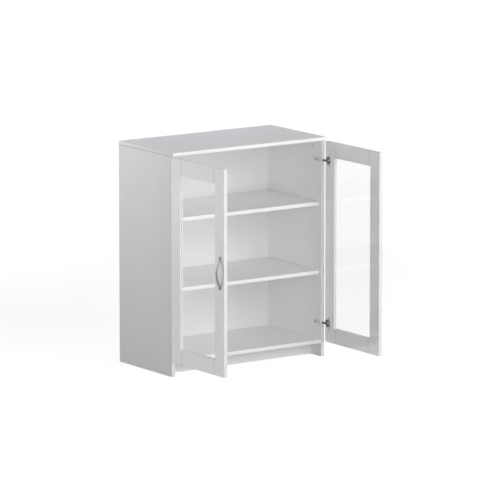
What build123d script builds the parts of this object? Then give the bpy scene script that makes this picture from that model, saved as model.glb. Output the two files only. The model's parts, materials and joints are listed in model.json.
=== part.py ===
from build123d import *
import math
import os

os.makedirs("parts", exist_ok=True)

# Low display cabinet with two glazed doors, in millimetres.  X runs across the width, +Y to the back, +Z up.
# It stands on the floor at Z = 0 with both doors open at a right angle.

# Carcass
cabinet_width = 823.0
cabinet_height = 1000.0
side_depth = 420.0
board = 16.0
top_side_overhang = 1.0
top_front_overhang = 15.0
plinth_height = 61.5
plinth_recess = 80.5
shelf_pitch = 312.8
shelf_setback = 20.0
shelf_end_gap = 1.0
shelf_back_gap = 1.5
back_thickness = 3.0
back_rebate = 8.0
back_gap = 0.2
edge_round = 0.8

# Doors
door_thickness = 16.5
door_reveal = 2.0
door_centre_gap = 3.0
door_top_gap = 2.0
door_overlap = 7.5
door_closed_gap = 1.5
stile_width = 69.5
rail_height = 69.5
glass_thickness = 4.0
groove_depth = 8.0
groove_gap = 0.25
open_inset = 5.5
open_standoff = 14.8

# Bow handle
handle_screw_span = 128.0
handle_edge_distance = 31.0
bow_rise = 18.0
bow_start = 1.5
bow_width = 9.0
bow_depth = 6.0
foot_radius = 9.5
foot_height = 3.0
boss_radius = 5.5
boss_height = 6.5
foot_round = 1.0
handle_screw_radius = 2.0
handle_screw_bite = 4.5
handle_head_radius = 4.0
handle_head_height = 2.2

# Door bumper
bumper_radius = 3.2
bumper_gap = 0.3
bumper_from_edge = 20.0

# Concealed hinges: places are given from the corner where the side's outer face meets its front edge
hinge_end_distance = 86.5
cup_radius = 17.5
cup_wall = 0.9
cup_depth = 12.4
cup_centre = 21.5
cup_floor_gap = 0.3
flange_thickness = 0.8
flange_radius = 19.0
ear_offset = 9.5
ear_span = 45.0
ear_width = 12.0
cup_screw_radius = 1.7
cup_screw_length = 12.0
cup_head_radius = 3.4
cup_head_height = 1.4
plate_start = 6.0
plate_length = 44.0
plate_width = 18.0
plate_thickness = 3.0
ridge_height = 4.5
ridge_width = 9.8
plate_screw_inset = 8.0
plate_screw_radius = 1.9
plate_screw_bite = 12.0
plate_head_radius = 3.3
plate_head_height = 2.2
arm_wall = 1.4
arm_length = 48.0
arm_gap = 0.3
link_pin_inward = 15.3
link_pin_forward = 9.6
link_pin_radius = 1.4
nose_radius = 2.8
arm_screw_radius = 2.0
arm_screw_from_front = 29.0
arm_head_radius = 3.5
arm_head_height = 1.8
adjuster_from_front = 10.0
adjuster_radius = 1.8
link_width = 9.8
link_thickness = 1.8
link_reach = 21.6
link_knee_along = 19.0
link_knee_out = 12.0
link_knee_round = 4.0
link_eye_radius = 2.6
link_tip_radius = 1.0
link_closed_angle = -3.8
link_ratio = 1.3
door_swing = 105.0
guide_gap = 0.4
guide_thickness = 0.8
guide_slot_gap = 0.3
guide_slot_steps = 14

# Shelf supports
support_radius = 2.5
support_depth = 10.0
support_tab_length = 9.0
support_tab_width = 8.0
support_tab_height = 6.0
support_from_front = 45.0
support_from_back = 60.0

# Knock-down fittings
cam_radius = 7.4
cam_length = 12.0
cam_sink = 0.4
cam_distance = 34.0
cam_pocket_extra = 1.5
bolt_radius = 3.2
bolt_bite = 11.0
cap_radius = 8.6
cap_thickness = 0.8
dowel_radius = 4.0
dowel_length = 30.0
dowel_in_face = 11.0
cam_from_front = 70.0
cam_from_back = 70.0
dowel_from_front = 35.0
dowel_from_back = 35.0
plinth_cam_height = 20.0
plinth_dowel_height = 45.0
plinth_dowel_from_end = 150.0

# Back panel nails
nail_radius = 0.7
nail_length = 17.0
nail_head_radius = 1.9
nail_head_height = 0.6
nail_pitch = 135.0
nail_margin = 30.0

# Clearance round a pin or fastener in its hole, and past the end of a blind hole
fit = 0.05
hole_end_gap = 0.5

# Sizes and places that follow
half = cabinet_width / 2
inner = half - board
side_top = cabinet_height - board
bottom_top = plinth_height + board
door_width = (cabinet_width - 2 * door_reveal - door_centre_gap) / 2
door_bottom = bottom_top - door_overlap
door_top = side_top - door_top_gap
door_middle = (door_bottom + door_top) / 2
door_reach = open_standoff + door_width
front = (door_reach - side_depth) / 2
back = front + side_depth
back_face = back - back_thickness
shelf_tops = {"lower": bottom_top + shelf_pitch, "upper": bottom_top + 2 * shelf_pitch}
hinge_heights = {"upper": door_top - hinge_end_distance, "lower": door_bottom + hinge_end_distance}

# The one vertical axis that carries the door from closed to open at a right angle
pivot_inward = (open_inset - open_standoff + door_closed_gap + door_reveal) / 2
pivot_forward = open_inset + door_closed_gap - pivot_inward


def block(x0, x1, y0, y1, z0, z1):
    """A plain box between two corners."""
    return Pos((x0 + x1) / 2, (y0 + y1) / 2, (z0 + z1) / 2) * Box(x1 - x0, y1 - y0, z1 - z0)


def panel(x0, x1, y0, y1, z0, z1):
    """A board with every edge slightly rounded."""
    plain = block(x0, x1, y0, y1, z0, z1)
    return fillet(plain.edges(), edge_round)


def rod(start, direction, radius, length):
    """A cylinder from a start point along a direction."""
    along = Plane(origin=start, z_dir=direction)
    return along * Cylinder(radius, length, align=(Align.CENTER, Align.CENTER, Align.MIN))


def mirrored(shapes):
    """The same solids on the right-hand side."""
    return [mirror(shape, about=Plane.YZ) for shape in shapes]


def save(name, shapes):
    """Writes one node, which is one solid or a group of separate solids."""
    solids = [solid for shape in shapes for solid in shape.solids()]
    whole = solids[0] if len(solids) == 1 else Compound(children=solids)
    export_step(whole, "parts/" + name + ".step")


def spaced(low, high, pitch):
    """Places from low to high, evenly spaced and at most one pitch apart."""
    gaps = max(1, math.ceil((high - low) / pitch))
    return [low + (high - low) * i / gaps for i in range(gaps + 1)]


# ---------------------------------------------------------------- knock-down fittings

def cam_joint(joint, toward, face, sink_way):
    """One cam, its bolt and the holes they need.

    joint is the point where the bolt crosses from one board into the other, toward the way from there
    to the cam, face the offset from the board's middle to the face that the cam is sunk in.
    """
    joint = Vector(*joint)
    toward = Vector(*toward)
    sink_way = Vector(*sink_way)
    centre = joint + toward * cam_distance
    mouth = centre - sink_way * face
    cam_hole = rod(mouth, sink_way, cam_radius + 2 * fit, cam_sink + cam_length + hole_end_gap)
    bolt_start = joint - toward * bolt_bite
    bolt_length = bolt_bite + cam_distance
    bolt = rod(bolt_start, toward, bolt_radius, bolt_length)
    bolt_hole = rod(bolt_start - toward * hole_end_gap, toward, bolt_radius + fit, bolt_length + hole_end_gap)
    pocket = rod(joint, toward, bolt_radius + 4 * fit, cam_distance + cam_pocket_extra)
    disc = rod(mouth + sink_way * cam_sink, sink_way, cam_radius, cam_length)
    return {"cam": disc - pocket, "bolt": bolt, "holes": [cam_hole, bolt_hole], "mouth": mouth}


def dowel_joint(joint, toward, in_face):
    """One dowel across a joint, in_face deep in the board behind the joint, and its hole."""
    joint = Vector(*joint)
    toward = Vector(*toward)
    start = joint - toward * in_face
    hole_start = start - toward * hole_end_gap
    return {
        "dowel": rod(start, toward, dowel_radius, dowel_length),
        "holes": [rod(hole_start, toward, dowel_radius + fit, dowel_length + 2 * hole_end_gap)],
    }


# All fittings are laid out on the left and repeated on the right.
side_middle = -half + board / 2
bottom_middle = plinth_height + board / 2
plinth_middle = front + plinth_recess + board / 2
cam_depths = [front + cam_from_front, back - cam_from_back]
dowel_depths = [front + dowel_from_front, back - dowel_from_back]

top_cams = [cam_joint((side_middle, y, side_top), (0, 0, -1), board / 2, (-1, 0, 0)) for y in cam_depths]
bottom_cams = [cam_joint((-inner, y, bottom_middle), (1, 0, 0), board / 2, (0, 0, 1)) for y in cam_depths]
plinth_cam = cam_joint((-inner, plinth_middle, plinth_cam_height), (1, 0, 0), board / 2, (0, -1, 0))
top_dowels = [dowel_joint((side_middle, y, side_top), (0, 0, -1), dowel_in_face) for y in dowel_depths]
bottom_dowels = [dowel_joint((-inner, y, bottom_middle), (1, 0, 0), dowel_in_face) for y in dowel_depths]
plinth_dowel = dowel_joint((-inner, plinth_middle, plinth_dowel_height), (1, 0, 0), dowel_in_face)
rail_dowel = dowel_joint(
    (-inner + plinth_dowel_from_end, plinth_middle, plinth_height), (0, 0, -1), dowel_in_face
)
cams = top_cams + bottom_cams + [plinth_cam]
dowels = top_dowels + bottom_dowels + [plinth_dowel, rail_dowel]
fitting_holes = [hole for fitting in cams + dowels for hole in fitting["holes"]]
left_cams = [fitting["cam"] for fitting in cams]
left_bolts = [fitting["bolt"] for fitting in cams]
left_dowels = [fitting["dowel"] for fitting in dowels]
left_caps = [rod(fitting["mouth"], (1, 0, 0), cap_radius, cap_thickness) for fitting in top_cams]


# ---------------------------------------------------------------- back panel nails

def nail_at(x, z):
    """One nail driven forward through the back panel, its head flush, and its hole."""
    face = Vector(x, back, z)
    below_head = face - Vector(0, nail_head_height, 0)
    nail = rod(face, (0, -1, 0), nail_head_radius, nail_head_height)
    nail += rod(below_head, (0, -1, 0), nail_radius, nail_length)
    hole = rod(face, (0, -1, 0), nail_head_radius + fit, nail_head_height)
    hole += rod(below_head, (0, -1, 0), nail_radius + fit, nail_length + hole_end_gap)
    return nail, hole


back_low = plinth_height
back_high = side_top + back_rebate - back_gap
back_reach = inner + back_rebate - back_gap
nail_column = inner + back_rebate / 2
nail_heights = spaced(back_low + nail_margin, side_top - nail_margin, nail_pitch)
nail_places = [(side * nail_column, z) for side in (-1, 1) for z in nail_heights]
row_places = spaced(-inner + nail_margin, inner - nail_margin, nail_pitch)
nail_places += [(x, bottom_middle) for x in row_places]
nail_places += [(x, side_top + back_rebate / 2) for x in row_places]
nails, nail_holes = zip(*[nail_at(x, z) for x, z in nail_places])


# ---------------------------------------------------------------- shelf supports

def support_at(y, under):
    """One steel shelf support in the left side, its flat tab under the shelf, and its hole."""
    axis_height = under - support_tab_height / 2
    shank = rod((-inner, y, axis_height), (-1, 0, 0), support_radius, support_depth)
    tab = block(
        -inner, -inner + support_tab_length,
        y - support_tab_width / 2, y + support_tab_width / 2,
        under - support_tab_height, under,
    )
    hole = rod((-inner, y, axis_height), (-1, 0, 0), support_radius + fit, support_depth + hole_end_gap)
    return shank + tab, hole


support_depths = [front + support_from_front, back - support_from_back]
supports = {
    level: [support_at(y, top - board) for y in support_depths] for level, top in shelf_tops.items()
}
support_holes = [hole for pairs in supports.values() for _, hole in pairs]


# ---------------------------------------------------------------- concealed hinges, cabinet side

def corner(inward, behind, z):
    """A point given from the left side's outer front corner: inward, behind its front edge, and height."""
    return Vector(-half + inward, front + behind, z)


def plan_prism(points, z0, z1):
    """A vertical prism over an outline given from the left side's outer front corner."""
    flat = [(-half + inward, front + behind) for inward, behind in points]
    outline = make_face(Polyline(flat, close=True))
    return extrude(Pos(0, 0, z0) * outline, z1 - z0)


plate_top = board + plate_thickness
ridge_top = plate_top + ridge_height
arm_foot = plate_top + arm_gap
web_low = ridge_top + arm_gap
web_high = web_low + arm_wall
cheek_low = ridge_width / 2 + arm_gap
cheek_high = cheek_low + arm_wall
web_front = 1.0
guide_low = cheek_high + guide_gap
guide_high = guide_low + guide_thickness
plate_screws_behind = [plate_start + plate_screw_inset, plate_start + plate_length - plate_screw_inset]
nose_angle = math.radians(-37)
nose_side = (nose_radius * math.cos(nose_angle), nose_radius * math.sin(nose_angle))
pin_place = (link_pin_inward, -link_pin_forward)
cheek_outline = [
    (arm_foot, arm_length),
    (web_high, arm_length),
    (web_high, web_front),
    (pin_place[0] + nose_side[0], pin_place[1] + nose_side[1]),
    (pin_place[0] - nose_side[0], pin_place[1] - nose_side[1]),
    (board + 1.3, -1.2),
    (arm_foot, plate_start / 2),
]


def hinge_plate(z):
    """The mounting plate screwed to the side, with the ridge that the arm sits over."""
    half_plate = plate_width / 2
    plate_end = plate_start + plate_length
    base = [(board, plate_start), (plate_top, plate_start), (plate_top, plate_end), (board, plate_end)]
    ridge = [
        (plate_top, plate_start), (ridge_top, plate_start), (ridge_top, plate_end), (plate_top, plate_end),
    ]
    whole = plan_prism(base, z - half_plate, z + half_plate)
    whole += plan_prism(ridge, z - ridge_width / 2, z + ridge_width / 2)
    for behind in plate_screws_behind:
        whole -= rod(corner(board, behind, z), (1, 0, 0), plate_screw_radius + fit, ridge_top)
        sink = corner(ridge_top - plate_head_height, behind, z)
        whole -= rod(sink, (1, 0, 0), plate_head_radius + fit, plate_head_height)
    return whole - rod(corner(plate_top, arm_screw_from_front, z), (1, 0, 0), arm_screw_radius + fit, board)


def plate_screws(z):
    """The two wood screws that hold a mounting plate, heads flush with the ridge."""
    screws = []
    for behind in plate_screws_behind:
        tip = corner(board - plate_screw_bite, behind, z)
        shank = rod(tip, (1, 0, 0), plate_screw_radius, plate_screw_bite + ridge_top - board)
        head_at = corner(ridge_top - plate_head_height, behind, z)
        screws.append(shank + rod(head_at, (1, 0, 0), plate_head_radius, plate_head_height - fit))
    return screws


def plate_screw_holes(z):
    """The pilot holes for a mounting plate in the side."""
    length = plate_screw_bite + hole_end_gap
    return [rod(corner(board, y, z), (-1, 0, 0), plate_screw_radius + fit, length) for y in plate_screws_behind]


def hinge_arm(z):
    """The bent channel over the plate, whose two cheeks reach forward as a fork for the link's pin."""
    whole = plan_prism(
        [(web_low, arm_length), (web_high, arm_length), (web_high, web_front), (web_low, web_front)],
        z - cheek_high, z + cheek_high,
    )
    for low, high in ((-cheek_high, -cheek_low), (cheek_low, cheek_high)):
        whole += plan_prism(cheek_outline, z + low, z + high)
        nose_at = corner(*pin_place, z + low)
        whole += rod(nose_at, (0, 0, 1), nose_radius, high - low)
    whole -= rod(corner(*pin_place, z - cheek_high), (0, 0, 1), link_pin_radius + fit, 2 * cheek_high)
    whole -= rod(corner(web_low, arm_screw_from_front, z), (1, 0, 0), arm_screw_radius + fit, arm_wall)
    return whole - rod(corner(web_low, adjuster_from_front, z), (1, 0, 0), adjuster_radius + fit, arm_wall)


def arm_screws(z):
    """The fixing screw and the overlay adjusting screw on an arm."""
    fixing_tip = corner(plate_top + hole_end_gap, arm_screw_from_front, z)
    fixing_head = corner(web_high, arm_screw_from_front, z)
    fixing = rod(fixing_tip, (1, 0, 0), arm_screw_radius, web_high - plate_top - hole_end_gap)
    fixing += rod(fixing_head, (1, 0, 0), arm_head_radius, arm_head_height)
    adjuster_tip = corner(ridge_top + fit, adjuster_from_front, z)
    adjuster = rod(adjuster_tip, (1, 0, 0), adjuster_radius, web_high - ridge_top + fit)
    return [fixing, adjuster]


def link_pin(z):
    """The upright pin through the arm's fork."""
    return rod(corner(*pin_place, z - cheek_high), (0, 0, 1), link_pin_radius, 2 * cheek_high)


def hinge_link(z):
    """The hooked link at rest, pinned in the arm's fork, its cross pin in the cup's guide slots."""
    path = FilletPolyline(
        (0, 0), (link_knee_along, link_knee_out), (link_reach, 0), radius=link_knee_round
    )
    flat = trace(path, line_width=link_thickness)
    flat += Circle(link_eye_radius)
    strip = extrude(flat, link_width / 2, both=True)
    strip += Pos(link_reach, 0) * Cylinder(link_tip_radius, 2 * guide_high)
    strip -= Cylinder(link_pin_radius + fit, 2 * link_width)
    rest_angle = link_closed_angle - 90 * link_ratio
    return Pos(*corner(*pin_place, z)) * Rot(0, 0, rest_angle) * strip


# ---------------------------------------------------------------- doors, built open at a right angle

def door_point(along, depth, z):
    """A point on the left door: along from its hinged edge, depth from its inner face, and height."""
    return Vector(-half + open_inset - depth, front - open_standoff - along, z)


def door_block(along, depth, z, rounded=False):
    """A box on the left door from three low-high pairs."""
    far = door_point(along[1], depth[1], z[0])
    near = door_point(along[0], depth[0], z[1])
    make = panel if rounded else block
    return make(far.X, near.X, far.Y, near.Y, far.Z, near.Z)


full_depth = (0, door_thickness)
groove_half = glass_thickness / 2 + groove_gap
groove = (door_thickness / 2 - groove_half, door_thickness / 2 + groove_half)
tongue = (groove[0] + groove_gap / 2, groove[1] - groove_gap / 2)
glass_depths = (door_thickness / 2 - glass_thickness / 2, door_thickness / 2 + glass_thickness / 2)
handle_along = door_width - handle_edge_distance
handle_heights = [door_middle - handle_screw_span / 2, door_middle + handle_screw_span / 2]
inward = (1, 0, 0)
outward = (-1, 0, 0)


def cup_cavity(z, depth):
    return rod(door_point(cup_centre, depth, z), inward, cup_radius - cup_wall, depth + 2 * flange_thickness)


def link_tip_on_door(opened):
    """Where the link's cross pin lies on the door, along and in depth, with the door opened so far."""
    link_turn = math.radians(link_closed_angle - link_ratio * opened)
    door_turn = math.radians(opened)
    x = link_pin_inward + link_reach * math.cos(link_turn) - pivot_inward
    y = link_reach * math.sin(link_turn) - link_pin_forward + pivot_forward
    closed_x = pivot_inward + x * math.cos(door_turn) - y * math.sin(door_turn)
    closed_y = x * math.sin(door_turn) + y * math.cos(door_turn) - pivot_forward
    return closed_x - door_reveal, -door_closed_gap - closed_y


def guide_slot(z):
    """The curved way that the link's cross pin takes through the cup as the door swings."""
    reach = link_tip_radius + guide_slot_gap
    stops = [door_swing * i / guide_slot_steps for i in range(guide_slot_steps + 1)]
    places = [door_point(*link_tip_on_door(opened), z) for opened in stops]
    flat = [(place.X, place.Y) for place in places]
    outline = trace(Spline(*flat), line_width=2 * reach)
    for end in (flat[0], flat[-1]):
        outline += Pos(*end) * Circle(reach)
    return extrude(Pos(0, 0, z) * outline, guide_high + guide_slot_gap, both=True)


def hinge_cup(z):
    """The pressed cup let into the hinge stile, with its flange, two ears and two guide plates."""
    body = rod(door_point(cup_centre, cup_depth, z), inward, cup_radius, cup_depth)
    body += rod(door_point(cup_centre, 0, z), inward, flange_radius, flange_thickness)
    ear_along = cup_centre + ear_offset
    for side in (-1, 1):
        body += rod(door_point(ear_along, 0, z + side * ear_span / 2), inward, ear_width / 2, flange_thickness)
    body += door_block(
        (ear_along - ear_width / 2, ear_along + ear_width / 2), (-flange_thickness, 0),
        (z - ear_span / 2, z + ear_span / 2),
    )
    body -= cup_cavity(z, cup_depth - cup_wall)
    lining = rod(door_point(cup_centre, cup_depth - cup_wall / 2, z), inward, cup_radius - cup_wall / 2, cup_depth)
    for low, high in ((-guide_high, -guide_low), (guide_low, guide_high)):
        body += lining & door_block((0, 2 * cup_centre), (0, cup_depth), (z + low, z + high))
    body -= guide_slot(z)
    for side in (-1, 1):
        screw_at = door_point(ear_along, 0, z + side * ear_span / 2)
        body -= rod(screw_at, inward, cup_screw_radius + fit, flange_thickness)
    return body


def cup_screws(z):
    """The two wood screws through a cup's ears."""
    screws = []
    for side in (-1, 1):
        height = z + side * ear_span / 2
        tip = door_point(cup_centre + ear_offset, cup_screw_length, height)
        head_at = door_point(cup_centre + ear_offset, -flange_thickness, height)
        shank = rod(tip, inward, cup_screw_radius, cup_screw_length + flange_thickness)
        screws.append(shank + rod(head_at, inward, cup_head_radius, cup_head_height))
    return screws


def stile(along, groove_along):
    """One upright of the door frame, with the groove for the glass and the rails' tongues."""
    whole = door_block(along, full_depth, (door_bottom, door_top), rounded=True)
    return whole - door_block(groove_along, groove, (door_bottom, door_top))


def rail(low, high, groove_heights):
    """One rail of the door frame, with a tongue at each end and the groove for the glass."""
    ends = (stile_width, door_width - stile_width)
    tongue_reach = groove_depth - groove_gap
    whole = door_block(ends, full_depth, (low, high), rounded=True)
    whole += door_block((ends[0] - tongue_reach, ends[1] + tongue_reach), tongue, (low, high))
    return whole - door_block((0, door_width), groove, groove_heights)


def bow_handle():
    """The bow handle: one round-backed bow between two feet that seat on the door's outer face."""
    half_span = handle_screw_span / 2
    bow_radius = (half_span**2 + bow_rise**2) / (2 * bow_rise)
    centre_depth = door_thickness + bow_start + bow_rise - bow_radius
    reach = math.degrees(math.asin(half_span / bow_radius))
    centre = door_point(handle_along, centre_depth, door_middle)
    start = Plane(origin=centre, x_dir=outward, z_dir=(0, -1, 0)).rotated((0, -reach, 0))
    section = Plane(origin=centre, x_dir=outward, z_dir=(0, 0, 1)) * Pos(bow_radius, 0) * Ellipse(
        bow_depth / 2, bow_width / 2
    )
    turn = Axis(centre, (0, 1, 0))
    bow = revolve(section.rotate(turn, reach), turn, -2 * reach)
    for height in handle_heights:
        foot = rod(door_point(handle_along, door_thickness, height), outward, foot_radius, foot_height)
        foot = fillet(foot.edges().sort_by(Axis.X)[0], foot_round)
        boss = rod(door_point(handle_along, door_thickness, height), outward, boss_radius, boss_height)
        bow += foot + fillet(boss.edges().sort_by(Axis.X)[0], foot_round)
    bow -= door_block((0, door_width), (0, door_thickness), (door_bottom, door_top))
    for height in handle_heights:
        at = door_point(handle_along, door_thickness, height)
        bow -= rod(at, outward, handle_screw_radius + fit, handle_screw_bite + hole_end_gap)
    return bow


def handle_screws():
    """The two machine screws from the inner face into the handle's feet."""
    screws = []
    for height in handle_heights:
        head_at = door_point(handle_along, -handle_head_height, height)
        shank_at = door_point(handle_along, 0, height)
        head = rod(head_at, outward, handle_head_radius, handle_head_height)
        head = fillet(head.edges().sort_by(Axis.X)[-1], foot_round)
        screws.append(head + rod(shank_at, outward, handle_screw_radius, door_thickness + handle_screw_bite))
    return screws


def door_bumper():
    """The clear dome that meets the bottom panel's front edge."""
    height = door_closed_gap - bumper_gap
    at = door_point(door_width - bumper_from_edge, 0, door_bottom + door_overlap / 2)
    dome = rod(at, inward, bumper_radius, height)
    return fillet(dome.edges().sort_by(Axis.X)[-1], height / 2)


def left_door_nodes():
    """Every piece of the left door by node name."""
    glass_edge = groove_depth - groove_gap * 2
    hinge_stile = stile((0, stile_width), (stile_width - groove_depth, stile_width))
    for z in hinge_heights.values():
        cup_hole_at = door_point(cup_centre, 0, z)
        hinge_stile -= rod(cup_hole_at, outward, cup_radius + fit, cup_depth + cup_floor_gap)
        for side in (-1, 1):
            screw_at = door_point(cup_centre + ear_offset, 0, z + side * ear_span / 2)
            hinge_stile -= rod(screw_at, outward, cup_screw_radius + fit, cup_screw_length + hole_end_gap)
    handle_stile = stile(
        (door_width - stile_width, door_width),
        (door_width - stile_width, door_width - stile_width + groove_depth),
    )
    for height in handle_heights:
        through = door_point(handle_along, 0, height)
        handle_stile -= rod(through, outward, handle_screw_radius + fit, door_thickness)
    return {
        "door_hinge_stile": [hinge_stile],
        "door_handle_stile": [handle_stile],
        "door_top_rail": [rail(
            door_top - rail_height, door_top,
            (door_top - rail_height - edge_round, door_top - rail_height + groove_depth),
        )],
        "door_bottom_rail": [rail(
            door_bottom, door_bottom + rail_height,
            (door_bottom + rail_height - groove_depth, door_bottom + rail_height + edge_round),
        )],
        "door_glass": [door_block(
            (stile_width - glass_edge, door_width - stile_width + glass_edge), glass_depths,
            (door_bottom + rail_height - glass_edge, door_top - rail_height + glass_edge),
        )],
        "door_handle": [bow_handle()],
        "door_handle_screws": handle_screws(),
        "door_bumper": [door_bumper()],
        "upper_hinge_cup": [hinge_cup(hinge_heights["upper"])],
        "lower_hinge_cup": [hinge_cup(hinge_heights["lower"])],
        "hinge_cup_screws": [screw for z in hinge_heights.values() for screw in cup_screws(z)],
    }


# ---------------------------------------------------------------- carcass boards

def side_panel():
    """The left side, drilled and rebated."""
    whole = panel(-half, -inner, front, back, 0, side_top)
    whole -= block(-inner - back_rebate, -inner, back_face, back, back_low, side_top)
    holes = fitting_holes + support_holes
    for z in hinge_heights.values():
        holes = holes + plate_screw_holes(z)
    holes = holes + [hole for (x, _), hole in zip(nail_places, nail_holes) if x < -inner]
    for hole in holes:
        whole -= hole
    return whole


def both_sides(shapes):
    return list(shapes) + mirrored(shapes)


all_holes = both_sides(fitting_holes)
left_side = side_panel()
top_panel = panel(
    -half - top_side_overhang, half + top_side_overhang, front - top_front_overhang, back,
    side_top, cabinet_height,
)
top_panel -= block(-inner - back_rebate, inner + back_rebate, back_face, back, side_top, side_top + back_rebate)
bottom_panel = panel(-inner, inner, front, back_face, plinth_height, bottom_top)
plinth = panel(-inner, inner, front + plinth_recess, front + plinth_recess + board, 0, plinth_height)
back_panel = block(-back_reach, back_reach, back_face, back, back_low, back_high)
for hole in all_holes:
    top_panel -= hole
    bottom_panel -= hole
    plinth -= hole
for (_, height), hole in zip(nail_places, nail_holes):
    back_panel -= hole
    if height > side_top:
        top_panel -= hole
    elif height == bottom_middle:
        bottom_panel -= hole

shelf_end = inner - shelf_end_gap
save("top_panel", [top_panel])
save("left_side_panel", [left_side])
save("right_side_panel", mirrored([left_side]))
save("bottom_panel", [bottom_panel])
save("plinth", [plinth])
save("back_panel", [back_panel])
for level, shelf_top in shelf_tops.items():
    shelf = panel(
        -shelf_end, shelf_end, front + shelf_setback, back_face - shelf_back_gap, shelf_top - board, shelf_top,
    )
    save(level + "_shelf", [shelf])
    save(level + "_shelf_supports", both_sides([support for support, _ in supports[level]]))

# ---------------------------------------------------------------- fittings
save("cam_locks", both_sides(left_cams))
save("cam_bolts", both_sides(left_bolts))
save("cam_caps", both_sides(left_caps))
save("dowels", both_sides(left_dowels))
save("back_nails", nails)

# ---------------------------------------------------------------- hinges and doors
hinge_pieces = {"plate": hinge_plate, "arm": hinge_arm, "link": hinge_link}
for level, height in hinge_heights.items():
    for piece, make in hinge_pieces.items():
        left_piece = make(height)
        save("left_" + level + "_hinge_" + piece, [left_piece])
        save("right_" + level + "_hinge_" + piece, mirrored([left_piece]))

hinge_fasteners = {
    "hinge_plate_screws": [screw for z in hinge_heights.values() for screw in plate_screws(z)],
    "hinge_arm_screws": [screw for z in hinge_heights.values() for screw in arm_screws(z)],
    "hinge_link_pins": [link_pin(z) for z in hinge_heights.values()],
}
for name, pieces in hinge_fasteners.items():
    save(name, both_sides(pieces))

for name, pieces in left_door_nodes().items():
    save("left_" + name, pieces)
    save("right_" + name, mirrored(pieces))
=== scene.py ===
import json
import math

import bmesh
import bpy
from mathutils import Matrix, Vector

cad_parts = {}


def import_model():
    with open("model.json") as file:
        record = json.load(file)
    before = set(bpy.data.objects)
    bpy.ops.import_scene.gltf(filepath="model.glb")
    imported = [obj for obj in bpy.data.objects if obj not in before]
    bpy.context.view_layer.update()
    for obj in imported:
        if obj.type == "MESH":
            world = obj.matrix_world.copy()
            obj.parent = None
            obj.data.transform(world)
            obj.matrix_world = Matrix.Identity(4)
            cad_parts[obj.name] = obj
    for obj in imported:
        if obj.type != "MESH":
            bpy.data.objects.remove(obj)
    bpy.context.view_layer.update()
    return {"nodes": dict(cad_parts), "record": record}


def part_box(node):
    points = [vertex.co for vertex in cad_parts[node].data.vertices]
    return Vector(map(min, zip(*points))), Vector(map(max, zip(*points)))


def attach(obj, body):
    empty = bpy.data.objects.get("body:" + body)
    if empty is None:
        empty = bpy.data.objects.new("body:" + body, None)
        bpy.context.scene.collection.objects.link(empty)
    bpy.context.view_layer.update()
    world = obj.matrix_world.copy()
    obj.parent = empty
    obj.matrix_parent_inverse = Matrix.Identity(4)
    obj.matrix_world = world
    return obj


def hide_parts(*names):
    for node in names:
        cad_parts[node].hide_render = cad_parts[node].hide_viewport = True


# A low white display cabinet with two glazed doors, standing open on a pale studio floor.
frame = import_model()
nodes = frame["nodes"]
MM = 0.001
SIDES = ("left", "right")
SLOT_OF = {part["node"]: part["material_slot"] for part in frame["record"]["subparts"]}
BODIES = frame["record"]["behaviour"]["bodies"]
BODY_OF = {node: body for body, members in BODIES.items() for node in members}

# The two tones of each finish
BOARD = (0.92, 0.92, 0.92), (0.90, 0.90, 0.902)
HARDBOARD = (0.87, 0.87, 0.87), (0.845, 0.845, 0.845)
SATIN_NICKEL = (0.25, 0.25, 0.25), (0.19, 0.19, 0.19)
PRESSED_NICKEL = (0.80, 0.80, 0.80), (0.70, 0.70, 0.70)
# A darker copy of the pressed nickel, painted shade for the shadow inside the hinge cups
SHADED_CUP_NICKEL = (0.62, 0.62, 0.62), (0.52, 0.52, 0.52)
DARK_STEEL = (0.16, 0.16, 0.16), (0.10, 0.10, 0.10)
ZINC_PLATE = (0.56, 0.57, 0.58), (0.44, 0.45, 0.46)
CAST_ZINC = (0.58, 0.59, 0.60), (0.47, 0.48, 0.49)
BEECH = (0.66, 0.46, 0.28), (0.50, 0.32, 0.18)
PLASTIC = (0.80, 0.80, 0.80), (0.76, 0.76, 0.765)
RUBBER = (0.78, 0.78, 0.77), (0.70, 0.70, 0.69)
FLOOR = (0.42, 0.42, 0.42), (0.40, 0.40, 0.40)

# White boards. A seam setting is the width of a strip of painted shade and how far it turns to
# SEAM_SHADE.
SEAM_SHADE = (0.35, 0.35, 0.36)
# Painted shade for the upright edges that face along Y, which stands in for the weaker light on
# them
EDGE_SHADE = (0.79, 0.79, 0.792)
GLOSS_IOR = 2.4
# Painted shade at the ends of each door rail, where the stiles shade it
RAIL_JOINT_SHADE = (28.0 * MM, 0.18)
RAIL_TONGUE = 7.75 * MM
# A painted shadow line along the top of each side, in the gap under the top panel
TOP_GAP_SHADOW = (3.0 * MM, 0.75)
TOP_ROUND = 2.5 * MM
TOP_ROUND_STEPS = 4

# The range that most of a noise texture's values lie in
NOISE_LOW = 0.3
NOISE_HIGH = 0.7
# The cosines between which a surface comes to count as facing an axis
FACING_START = 0.9
FACING_FULL = 0.98

# Mesh resolution
ROUND_STEPS = 32
BOW_STEPS = 64
SHARP_ANGLE = math.radians(32)
WELD = 1e-6

# Bow handle
BOW_WIDTH = 9.5 * MM
BOW_DEPTH = 6.5 * MM
BOW_HALF_SPAN = 58.0 * MM
BOW_SOFTNESS = 2.5 * MM
PAD_WIDTH = 12.0 * MM
PAD_THICKNESS = 5.0 * MM
PAD_SEAT = 0.05 * MM
PAD_BLEND = 0.35  # the share of the bow's rise over which a pad turns into the bow
PAD_TIP = 0.02  # the narrowest share of a pad's width, at its round end

# Cross-recessed screws: the height of the head, and the radius of the shank
HANDLE_SCREW = (2.2 * MM, 2.0 * MM)
CUP_SCREW = (1.4 * MM, 1.7 * MM)
ARM_SCREW = (1.8 * MM, 2.0 * MM)
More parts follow.
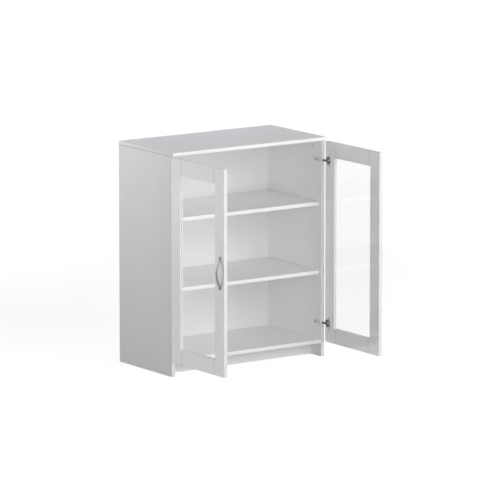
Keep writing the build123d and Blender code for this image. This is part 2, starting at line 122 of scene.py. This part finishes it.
# Their other sizes, as shares of a radius or height of the head, or of the shank's radius
SHANK_MOST = 0.98  # of the head's radius
SHANK_TIP = 0.7
SHANK_TAPER = 0.6
HEAD_FLAT = 0.62
DOMED_RIM = 0.35
FLAT_RIM = 0.8
DOME_STEPS = 4
RECESS_REACH = 0.56
RECESS_HALF_WIDTH = 0.16
RECESS_TAPER = 0.55  # its floor's size beside its mouth's
RECESS_FLOOR = 0.25  # of the head's height


# ---------------------------------------------------------------- shader helpers

class Nodes:
    """A node tree, with short calls for the nodes that a material and the world share."""

    def __init__(self, tree):
        self.tree = tree

    def feed(self, socket, value):
        """Links a socket to another, or sets its own value."""
        if isinstance(value, bpy.types.NodeSocket):
            self.tree.links.new(value, socket)
        else:
            socket.default_value = value

    def add(self, kind, inputs, **settings):
        """A new node, with its settings first and then its inputs."""
        made = self.tree.nodes.new(kind)
        for key, value in settings.items():
            setattr(made, key, value)
        for key, value in inputs.items():
            self.feed(made.inputs[key], value)
        return made

    def math(self, operation, first, second=0.0):
        """One arithmetic step on two numbers."""
        return self.add("ShaderNodeMath", {0: first, 1: second}, operation=operation).outputs[0]

    def seen_directly(self):
        """1 for rays that carry what the eye sees: from the camera, mirrored or through glass."""
        ray = self.add("ShaderNodeLightPath", {}).outputs
        reflected = self.math("MAXIMUM", ray["Is Camera Ray"], ray["Is Glossy Ray"])
        return self.math("MAXIMUM", reflected, ray["Is Transmission Ray"])


class Shader(Nodes):
    """A node material, with short calls for the nodes that the finishes here share."""

    def __init__(self, name):
        self.material = bpy.data.materials.new(name)
        self.material.use_nodes = True
        super().__init__(self.material.node_tree)
        self.surface = self.tree.nodes["Principled BSDF"]
        texture = self.add("ShaderNodeTexCoord", {}).outputs
        self.place = texture["Object"]
        self.normal = texture["Normal"]

    def set(self, **values):
        """Sets the surface's own sockets; underscores stand for the spaces in their names."""
        for key, value in values.items():
            self.feed(self.surface.inputs[key.replace("_", " ")], value)

    def noise(self, scale, detail=2.0, stretch=(1, 1, 1)):
        """Noise of about 1/scale metres, drawn out where stretch is under 1."""
        mapped = self.add("ShaderNodeMapping", {"Vector": self.place, "Scale": stretch})
        inputs = {"Vector": mapped.outputs["Vector"], "Scale": scale, "Detail": detail}
        return self.add("ShaderNodeTexNoise", inputs).outputs["Fac"]

    def spread(self, value, low, high):
        """Noise's middle range stretched from low to high."""
        inputs = {"From Min": NOISE_LOW, "From Max": NOISE_HIGH, "To Min": low, "To Max": high}
        return self.add("ShaderNodeMapRange", {"Value": value, **inputs}).outputs["Result"]

    def patches(self, scale, detail=2.0):
        """Soft patches from 0 to 1, about 1/scale metres wide."""
        return self.spread(self.noise(scale, detail), 0.0, 1.0)

    def ramp(self, value, start, end, low=0.0, high=1.0):
        """A smooth step from low at start to high at end."""
        inputs = {"Value": value, "From Min": start, "From Max": end, "To Min": low, "To Max": high}
        made = self.add("ShaderNodeMapRange", inputs, interpolation_type="SMOOTHSTEP")
        return made.outputs["Result"]

    def axis(self, name):
        """One coordinate of the surface point, at rest in the frame's metres."""
        return self.add("ShaderNodeSeparateXYZ", {"Vector": self.place}).outputs[name]

    def between(self, factor, first, second):
        """A colour between two others, each of them fixed or from a node."""
        inputs = {"Factor": factor}
        for key, end in (("A", first), ("B", second)):
            inputs[key] = end if isinstance(end, bpy.types.NodeSocket) else (*end, 1)
        return self.add("ShaderNodeMix", inputs, data_type="RGBA").outputs["Result"]

    def facing(self, axis):
        """1 where the surface faces along an axis at rest, 0 elsewhere."""
        part = self.add("ShaderNodeSeparateXYZ", {"Vector": self.normal}).outputs[axis]
        return self.ramp(self.math("ABSOLUTE", part), FACING_START, FACING_FULL)

    def bump(self, height, depth, strength):
        """A surface relief, depth metres from low to high."""
        inputs = {"Height": height, "Distance": depth, "Strength": strength}
        return self.add("ShaderNodeBump", inputs).outputs["Normal"]


def melamine(name, shaded_planes=(), seam_axis="Z", shade_strip=(0.0, 0.0), glossy=False, shaded_edges=False):
    """Board faced in smooth white melamine with a faint orange peel.

    It has strips of painted shade along each of the given planes that seam_axis crosses, which
    stand in for the shade in joints and gaps. A door's two faces are glossy, and its edge bands
    are not. Where asked, its edges that face along Y at rest are a little greyer, painted shade
    for the weaker light on them.
    """
    s = Shader(name)
    peel = s.noise(700, detail=3)
    colour = s.between(s.patches(2.5), *BOARD)
    shade_width, shade_depth = shade_strip
    # Painted shade: darker strips along the planes where joints and gaps would be shaded
    for place in shaded_planes:
        away = s.math("ABSOLUTE", s.math("SUBTRACT", s.axis(seam_axis), place))
        colour = s.between(s.ramp(away, 0.0, shade_width, shade_depth, 0.0), colour, SEAM_SHADE)
    # Painted shade on the edges that face along Y
    if shaded_edges:
        colour = s.between(s.facing("Y"), colour, EDGE_SHADE)
    s.set(
        Base_Color=colour,
        Roughness=s.spread(s.noise(9), 0.50, 0.58),
        IOR=1.45,
        Normal=s.bump(peel, 0.02 * MM, 0.25),
    )
    if glossy:
        s.set(
            Coat_Weight=s.facing("X"),
            Coat_Roughness=0.04,
            Coat_IOR=GLOSS_IOR,
        )
    return s.material


def hardboard():
    """Thin fibreboard with a matt white printed face and a faint fibre grain."""
    s = Shader("white_hardboard")
    fibre = s.noise(420, detail=6, stretch=(1, 1, 0.35))
    s.set(
        Base_Color=s.between(s.spread(fibre, 0.0, 1.0), *HARDBOARD),
        Roughness=s.spread(s.noise(60), 0.42, 0.55),
        Normal=s.bump(fibre, 0.06 * MM, 0.3),
    )
    return s.material


def float_glass():
    """Clear glass that lets the lamps' light through to what stands behind it."""
    s = Shader("clear_glass")
    dust = s.noise(14, detail=5)
    s.set(
        Base_Color=(0.974, 0.98, 0.976, 1),
        Roughness=s.spread(dust, 0.0, 0.012),
        IOR=1.5,
        Transmission_Weight=1.0,
    )
    ray = s.add("ShaderNodeLightPath", {}).outputs
    lighting = s.math("MAXIMUM", ray["Is Shadow Ray"], ray["Is Diffuse Ray"])
    clear = s.add("ShaderNodeBsdfTransparent", {"Color": (0.96, 0.97, 0.965, 1)})
    inputs = {0: lighting, 1: s.surface.outputs["BSDF"], 2: clear.outputs["BSDF"]}
    mixed = s.add("ShaderNodeMixShader", inputs)
    s.feed(s.tree.nodes["Material Output"].inputs["Surface"], mixed.outputs["Shader"])
    return s.material


def brushed_metal(name, tones, roughness, stretch):
    """Plated metal with faint staining and a fine brushed grain, long where stretch is under 1."""
    s = Shader(name)
    brush = s.noise(900, detail=3, stretch=stretch)
    s.set(
        Base_Color=s.between(s.patches(60, detail=4), *tones),
        Metallic=1.0,
        Roughness=s.spread(brush, roughness - 0.06, roughness + 0.08),
        Normal=s.bump(brush, 0.015 * MM, 0.35),
    )
    return s.material


def cast_zinc():
    """Bare die-cast zinc alloy with a grainy skin."""
    s = Shader("cast_zinc")
    grain = s.noise(1600, detail=4)
    s.set(
        Base_Color=s.between(s.patches(150), *CAST_ZINC),
        Metallic=1.0,
        Roughness=s.spread(grain, 0.38, 0.55),
        Normal=s.bump(grain, 0.04 * MM, 0.5),
    )
    return s.material


def beech():
    """Turned beech, with grain along each dowel and the short dark flecks of its rays."""
    s = Shader("beech")
    grain = s.noise(260, detail=5, stretch=(0.12, 1, 0.12))
    flecks = s.noise(900, detail=1, stretch=(0.3, 1, 0.3))
    tone = s.math("MULTIPLY", grain, flecks)
    s.set(
        Base_Color=s.between(s.spread(tone, -1.0, 3.0), *BEECH),
        Roughness=s.spread(grain, 0.55, 0.7),
        Normal=s.bump(grain, 0.05 * MM, 0.6),
    )
    return s.material


def moulded_plastic():
    """Matt white plastic with a fine spark-eroded texture."""
    s = Shader("moulded_plastic")
    texture = s.noise(2600)
    s.set(
        Base_Color=s.between(s.patches(120), *PLASTIC),
        Roughness=s.spread(texture, 0.45, 0.6),
        Normal=s.bump(texture, 0.02 * MM, 0.4),
    )
    return s.material


def soft_rubber():
    """A clear, slightly milky silicone dome."""
    s = Shader("soft_rubber")
    s.set(
        Base_Color=s.between(s.patches(300), *RUBBER),
        Roughness=s.spread(s.noise(500), 0.2, 0.35),
        Subsurface_Weight=0.3,
        Subsurface_Radius=(2.0 * MM, 2.0 * MM, 2.0 * MM),
    )
    return s.material


FINISHES = {
    "white_board": melamine("white_melamine"),
    "white_door_board": melamine("white_door_melamine", glossy=True),
    "white_back_board": hardboard(),
    "door_glass": float_glass(),
    "handle_nickel": brushed_metal("satin_nickel", SATIN_NICKEL, 0.30, (1, 1, 0.06)),
    "hinge_nickel": brushed_metal("pressed_nickel", PRESSED_NICKEL, 0.42, (1, 0.1, 1)),
    "hinge_dark_steel": brushed_metal("dark_steel", DARK_STEEL, 0.35, (1, 1, 0.2)),
    "plated_steel": brushed_metal("zinc_plate", ZINC_PLATE, 0.30, (0.3, 1, 1)),
    "zinc_alloy": cast_zinc(),
    "beech": beech(),
    "white_plastic": moulded_plastic(),
    "clear_rubber": soft_rubber(),
}


def finish(thing, material):
    """Gives a piece or a carried-over node its one material."""
    thing.data.materials.clear()
    thing.data.materials.append(material)


for name, carried in nodes.items():
    finish(carried, FINISHES[SLOT_OF[name]])

# Some nodes get their own version of their slot's finish
# The hinge cups get a darker copy of the hinge nickel: painted shade for the shadow inside them
shaded_cup_metal = brushed_metal("shaded_cup_nickel", SHADED_CUP_NICKEL, 0.36, (1, 0.1, 1))
for side in SIDES:
    panel = f"{side}_side_panel"
    panel_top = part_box(panel)[1].z
    # A painted shadow line along the side's top, under the top panel, and painted shade on its
    # Y-facing edges
    finish(nodes[panel], melamine(f"{side}_side_melamine", [panel_top], "Z", TOP_GAP_SHADOW, shaded_edges=True))
    stile = f"{side}_door_handle_stile"
    # Painted shade on the stile's Y-facing edges
    finish(nodes[stile], melamine(f"{side}_door_stile_melamine", glossy=True, shaded_edges=True))
    for end in ("top", "bottom"):
        rail = f"{side}_door_{end}_rail"
        # Painted shade at both ends of the rail, where it meets the stiles
        rail_low, rail_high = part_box(rail)
        shaded_planes = [rail_low.y + RAIL_TONGUE, rail_high.y - RAIL_TONGUE]
        finish(nodes[rail], melamine(f"{rail}_melamine", shaded_planes, "Y", RAIL_JOINT_SHADE, glossy=True))
    for level in ("upper", "lower"):
        finish(nodes[f"{side}_{level}_hinge_cup"], shaded_cup_metal)


# ---------------------------------------------------------------- mesh helpers

def placed(at, way):
    """The matrix that carries a shape built round +Z to a point, with its +Z turned along way."""
    return Matrix.Translation(at) @ Vector(way).to_track_quat("Z", "Y").to_matrix().to_4x4()


def lathe(bm, place, profile):
    """Turns (radius, height) points round the Z axis of place. Returns the last ring."""
    turns = [2 * math.pi * i / ROUND_STEPS for i in range(ROUND_STEPS)]
    rings = []
    for radius, height in profile:
        if radius == 0:
            rings.append([bm.verts.new(place @ Vector((0, 0, height)))] * ROUND_STEPS)
            continue
        ring = []
        for turn in turns:
            point = Vector((radius * math.cos(turn), radius * math.sin(turn), height))
            ring.append(bm.verts.new(place @ point))
        rings.append(ring)
    skin(bm, rings)
    return rings[-1]


def skin(bm, rings):
    """Joins neighbouring rings of as many points with faces."""
    for lower, upper in zip(rings, rings[1:]):
        for i in range(len(lower)):
            j = (i + 1) % len(lower)
            corners = list(dict.fromkeys((lower[i], lower[j], upper[j], upper[i])))
            if len(corners) > 2:
                bm.faces.new(corners)


def piece(name, build, body, slot, replaced):
    """A mesh piece that build(bm) draws. A body carries it, and it stands in for CAD nodes."""
    bm = bmesh.new()
    build(bm)
    bmesh.ops.recalc_face_normals(bm, faces=bm.faces)
    mesh = bpy.data.meshes.new(name)
    bm.to_mesh(mesh)
    bm.free()
    mesh.shade_smooth()
    mesh.set_sharp_from_angle(angle=SHARP_ANGLE)
    made = bpy.data.objects.new(name, mesh)
    bpy.context.scene.collection.objects.link(made)
    finish(made, FINISHES[slot])
    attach(made, body)
    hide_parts(*replaced)


def solids(node):
    """The lowest and highest corner of each separate solid in a CAD node."""
    bm = bmesh.new()
    bm.from_mesh(nodes[node].data)
    bmesh.ops.remove_doubles(bm, verts=bm.verts, dist=WELD)
    waiting = set(bm.verts)
    boxes = []
    while waiting:
        group = [waiting.pop()]
        for vertex in group:
            for edge in vertex.link_edges:
                other = edge.other_vert(vertex)
                if other in waiting:
                    waiting.remove(other)
                    group.append(other)
        low = Vector([min(v.co[axis] for v in group) for axis in range(3)])
        high = Vector([max(v.co[axis] for v in group) for axis in range(3)])
        boxes.append((low, high))
    bm.free()
    return sorted(boxes, key=lambda box: tuple(box[0]))


# ---------------------------------------------------------------- bow handles

def bow_sections(face, out, along, middle, half_length, reach):
    """The rings of an oval bow whose two ends bend flat and lie on the door as rounded pads."""
    rise = reach - BOW_DEPTH / 2 - PAD_THICKNESS / 2
    rings = []
    for step in range(BOW_STEPS + 1):
        level = half_length * math.sin(math.pi * (step / BOW_STEPS - 0.5))
        arch = rise * (1 - (level / BOW_HALF_SPAN) ** 2)
        # The arch bends over softly into a flat end instead of crossing the door's face
        lift = (arch + math.hypot(arch, BOW_SOFTNESS)) / 2
        slope = -rise * level / BOW_HALF_SPAN**2 * (1 + arch / math.hypot(arch, BOW_SOFTNESS))
        tilt = math.atan(slope)
        share = min(1, lift / (PAD_BLEND * rise))
        half_depth = (PAD_THICKNESS + (BOW_DEPTH - PAD_THICKNESS) * share) / 2
        half_width = (PAD_WIDTH + (BOW_WIDTH - PAD_WIDTH) * share) / 2
        from_end = (half_length - abs(level)) / (PAD_WIDTH / 2)
        if from_end < 1:
            half_width *= math.sqrt(max(1 - (1 - from_end) ** 2, PAD_TIP**2))
        ring = []
        for i in range(ROUND_STEPS):
            turn = 2 * math.pi * i / ROUND_STEPS
            across = half_width * math.cos(turn)
            above = half_depth * math.sin(turn)
            height = PAD_THICKNESS / 2 + min(lift, rise) + above * math.cos(tilt)
            ring.append(Vector((
                face + out * max(height, PAD_SEAT),
                along + across,
                middle + max(-half_length, min(half_length, level - above * math.sin(tilt))),
            )))
        rings.append(ring)
    return rings


def bow_handle(side):
    """A satin nickel bow, its two ends flat on the door's outer face."""
    low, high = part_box(f"{side}_door_handle")
    out = -1 if side == "left" else 1
    face = high.x if side == "left" else low.x
    along = (low.y + high.y) / 2
    middle = (low.z + high.z) / 2

    def build(bm):
        sections = bow_sections(face, out, along, middle, (high.z - low.z) / 2, high.x - low.x)
        rings = [[bm.verts.new(point) for point in ring] for ring in sections]
        skin(bm, rings)
        bm.faces.new(rings[0])
        bm.faces.new(rings[-1])

    piece(f"{side}_bow_handle", build, f"{side}_door", "handle_nickel", [f"{side}_door_handle"])


# ---------------------------------------------------------------- top panel

def rounded_top():
    """The top, with the soft round of its thick edge band."""
    low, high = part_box("top_panel")

    def build(bm):
        cube = bmesh.ops.create_cube(bm, size=1)
        for vertex in cube["verts"]:
            for axis in range(3):
                vertex.co[axis] = high[axis] if vertex.co[axis] > 0 else low[axis]
        edges = bm.edges[:]
        bmesh.ops.bevel(
            bm, geom=edges, offset=TOP_ROUND, segments=TOP_ROUND_STEPS, profile=0.5, affect="EDGES"
        )

    piece("rounded_top_panel", build, "cabinet", "white_board", ["top_panel"])


# ---------------------------------------------------------------- screws

def screw(bm, seat, way, shank, shank_length, head, head_height, domed=True):
    """A screw with a cross recess.

    seat is the middle of the underside of its head, and way points from there to the recess. shank
    and head are radii.
    """
    place = placed(seat, way)
    flat = head * HEAD_FLAT
    rim = head_height * (DOMED_RIM if domed else FLAT_RIM)
    tip = (shank * SHANK_TIP, -shank_length)
    taper = (shank, -shank_length + shank * SHANK_TAPER)
    profile = [(0, -shank_length), tip, taper, (shank, 0), (head, 0), (head, rim)]
    for step in range(1, DOME_STEPS + 1):
        turn = math.pi / 2 * step / DOME_STEPS
        radius = flat + (head - flat) * math.cos(turn)
        profile.append((radius, rim + (head_height - rim) * math.sin(turn)))
    circle = lathe(bm, place, profile)
    arm = head * RECESS_REACH
    half = head * RECESS_HALF_WIDTH
    outline = []
    for quarter in range(4):
        corner = Matrix.Rotation(quarter * math.pi / 2, 4, "Z")
        for x, y in ((arm, -half), (arm, half), (half, half)):
            outline.append(corner @ Vector((x, y, 0)))
    mouth_level = Vector((0, 0, head_height))
    floor_level = mouth_level * RECESS_FLOOR
    mouth = [bm.verts.new(place @ (point + mouth_level)) for point in outline]
    bottom = [bm.verts.new(place @ (point * RECESS_TAPER + floor_level)) for point in outline]
    skin(bm, [mouth, bottom])
    bm.faces.new(bottom)
    rim_edges = [bm.edges.get((a, b)) for a, b in zip(circle, circle[1:] + circle[:1])]
    rim_edges += [bm.edges.get((a, b)) for a, b in zip(mouth, mouth[1:] + mouth[:1])]
    bmesh.ops.triangle_fill(bm, use_beauty=True, edges=rim_edges)


def cross_screws(node, name, slot, head_height, shank, domed=True):
    """Cross-recessed screws in place of a node of plain ones.

    They lie along X, with their heads towards the cabinet's middle. shank is their radius.
    """
    boxes = solids(node)

    def build(bm):
        for low, high in boxes:
            middle = (low + high) / 2
            way = -1 if middle.x > 0 else 1
            tip, top = (low.x, high.x) if way > 0 else (high.x, low.x)
            head = (high.y - low.y) / 2
            seat = Vector((top - way * head_height, middle.y, middle.z))
            radius = min(shank, SHANK_MOST * head)
            screw(bm, seat, (way, 0, 0), radius, abs(seat.x - tip), head, head_height, domed)

    piece(name, build, BODY_OF[node], slot, [node])


# ---------------------------------------------------------------- camera, lamps and floor

CAMERA_AZIMUTH = math.radians(-34.733)
CAMERA_ELEVATION = math.radians(10.2375)
CAMERA_DISTANCE = 21.3155
CAMERA_LENS = 342.26
CAMERA_SENSOR = 36.0
CAMERA_REACH = 200.0
CAMERA_AIM = Vector((0.1451, 0.2014, 0.4824))
AMBIENT = 0.14
WHITE = (1, 1, 1)
COOL = (0.86, 0.86, 1)
MIDDLE = (0, 0.1, 0.5)
# Each lamp's name, place, aim, width and height, and radiance
LAMPS = (
    ("front_left", (-3.0, -4.2, 1.2), MIDDLE, (3.0, 2.0), 3.4),
    ("front_right", (3.2, -4.0, 1.2), MIDDLE, (3.0, 2.0), 3.0),
    ("front_high", (0.5, -4.2, 3.4), MIDDLE, (3.0, 2.0), 4.2),
    ("front_low", (0.0, -5.0, 0.5), MIDDLE, (5.0, 0.9), 3.4),
    ("left_near", (-1.4, 0.65, 1.25), (-0.41, 0.33, 0.95), (0.7, 0.3), 5.4),
    ("top_back", (0.1, 0.9, 1.7), (0.1, 0.4, 1.0), (1.4, 0.2), 2.9, COOL),
    ("right", (5.0, -0.5, 1.6), MIDDLE, (3.0, 2.0), 3.0),
    ("back_low", (-1.0, 5.0, 0.7), MIDDLE, (4.0, 1.2), 5.6),
)
FLOOR_HALF = 60.0
FLOOR_DROP = 0.2 * MM
# The floor's glow to the eye rises as the lamps' light on it falls off
FLOOR_NEAR = 1.2
FLOOR_FAR = 7.0
FLOOR_GLOW_NEAR = 0.78
FLOOR_GLOW_FAR = 0.97


def camera():
    """A long lens at the photograph's viewing angle."""
    data = bpy.data.cameras.new("camera")
    data.sensor_width = CAMERA_SENSOR
    data.lens = CAMERA_LENS
    data.clip_end = CAMERA_REACH
    made = bpy.data.objects.new("camera", data)
    bpy.context.scene.collection.objects.link(made)
    back = Vector((
        math.sin(CAMERA_AZIMUTH) * math.cos(CAMERA_ELEVATION),
        -math.cos(CAMERA_AZIMUTH) * math.cos(CAMERA_ELEVATION),
        math.sin(CAMERA_ELEVATION),
    ))
    made.location = CAMERA_AIM + back * CAMERA_DISTANCE
    made.rotation_euler = (-back).to_track_quat("-Z", "Y").to_euler()
    bpy.context.scene.camera = made


def lamp(name, place, aim, size, radiance, colour=WHITE):
    """A soft rectangular lamp of a given brightness, whatever its size."""
    data = bpy.data.lights.new(name, "AREA")
    data.shape = "RECTANGLE"
    data.size, data.size_y = size
    data.energy = radiance * math.pi * size[0] * size[1]
    data.color = colour
    made = bpy.data.objects.new(name, data)
    bpy.context.scene.collection.objects.link(made)
    made.location = place
    made.rotation_euler = (Vector(aim) - Vector(place)).to_track_quat("-Z", "Y").to_euler()
    made.visible_camera = False


def world():
    """White where it is seen, and a plain soft ambient for everything that it lights."""
    made = bpy.data.worlds.new("studio")
    made.use_nodes = True
    bpy.context.scene.world = made
    n = Nodes(made.node_tree)
    level = n.add("ShaderNodeMapRange", {"Value": n.seen_directly(), "To Min": AMBIENT})
    background = n.tree.nodes["Background"]
    n.feed(background.inputs["Color"], (1, 1, 1, 1))
    n.feed(background.inputs["Strength"], level.outputs["Result"])


def floor():
    """A wide pale floor that reads as white and keeps the cabinet's shadow."""
    mesh = bpy.data.meshes.new("floor")
    corners = [(x * FLOOR_HALF, y * FLOOR_HALF, 0) for x, y in ((-1, -1), (1, -1), (1, 1), (-1, 1))]
    mesh.from_pydata(corners, [], [(0, 1, 2, 3)])
    made = bpy.data.objects.new("floor", mesh)
    bpy.context.scene.collection.objects.link(made)
    made.location.z = -FLOOR_DROP
    s = Shader("pale_floor")
    s.set(
        Base_Color=s.between(s.patches(0.8), *FLOOR),
        Roughness=0.9,
        Specular_IOR_Level=0.0,
        Emission_Color=(1, 1, 1, 1),
    )
    away = s.add("ShaderNodeVectorMath", {0: s.place}, operation="LENGTH").outputs["Value"]
    level = s.ramp(away, FLOOR_NEAR, FLOOR_FAR, FLOOR_GLOW_NEAR, FLOOR_GLOW_FAR)
    s.set(Emission_Strength=s.math("MULTIPLY", s.seen_directly(), level))
    mesh.materials.append(s.material)


camera()
world()
floor()
for settings in LAMPS:
    lamp(*settings)
bpy.context.scene.view_settings.view_transform = "Standard"


# ---------------------------------------------------------------- the object's pieces

rounded_top()
cross_screws(
    "hinge_arm_screws", "hinge_adjusting_screws", "hinge_dark_steel", *ARM_SCREW, domed=False
)
for side in SIDES:
    bow_handle(side)
    cross_screws(
        f"{side}_door_handle_screws", f"{side}_handle_screws", "plated_steel", *HANDLE_SCREW
    )
    cross_screws(f"{side}_hinge_cup_screws", f"{side}_cup_screws", "plated_steel", *CUP_SCREW)
